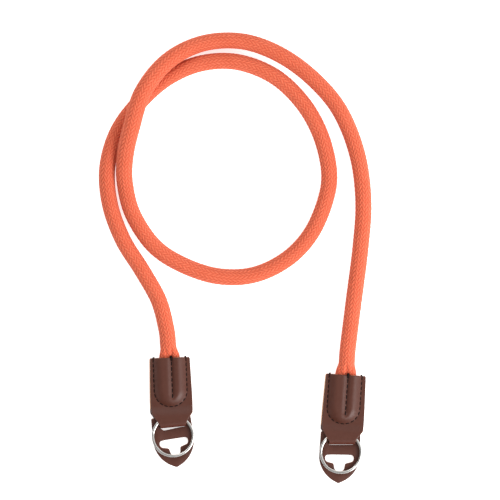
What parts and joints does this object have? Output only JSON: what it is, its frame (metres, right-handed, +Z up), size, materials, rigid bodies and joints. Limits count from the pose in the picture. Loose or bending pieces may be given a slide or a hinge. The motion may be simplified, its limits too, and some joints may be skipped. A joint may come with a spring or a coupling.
{
  "type": "camera strap",
  "caption": "Camera strap of coral braided rope lying in a flat coil, each end sewn into a folded brown leather tab with a split ring and a pointed leather guard",
  "frame": {"origin": "on the surface the strap lies on, in the middle of the box round the two leather ends with their rings", "axes": "+Z up from the surface, +Y from the two ends towards the coil, +X from the left end to the right end"},
  "size_m": [0.1655, 0.2744, 0.0206],
  "materials": {
    "braid": "matt woven polyester or nylon braid, coral orange, red-orange in its grooves",
    "tab_leather": "smooth dark brown leather with a soft shine and a raw tan edge",
    "guard_leather": "smooth dark brown leather with a soft shine",
    "ring_steel": "bright flat steel wire, fine drawn marks"
  },
  "bodies": {
    "strap": {"rope": "braid", "rope_end_left": "braid", "leather_tab_left": "tab_leather", "leather_guard_left": "guard_leather", "rope_end_right": "braid", "leather_tab_right": "tab_leather", "leather_guard_right": "guard_leather"},
    "ring_left": {"split_ring_left": "ring_steel"},
    "ring_right": {"split_ring_right": "ring_steel"}
  },
  "joints": [
    {"name": "left_ring_turn", "type": "hinge", "parent": "strap", "child": "ring_left", "pos_m": [-0.05158, -0.00972, 0.00404], "axis": [0.0078, -0.0639, 0.9979], "continuous": true},
    {"name": "right_ring_turn", "type": "hinge", "parent": "strap", "child": "ring_right", "pos_m": [0.05087, -0.0198, 0.00402], "axis": [-0.0033, -0.0643, 0.9979], "continuous": true}
  ]
}
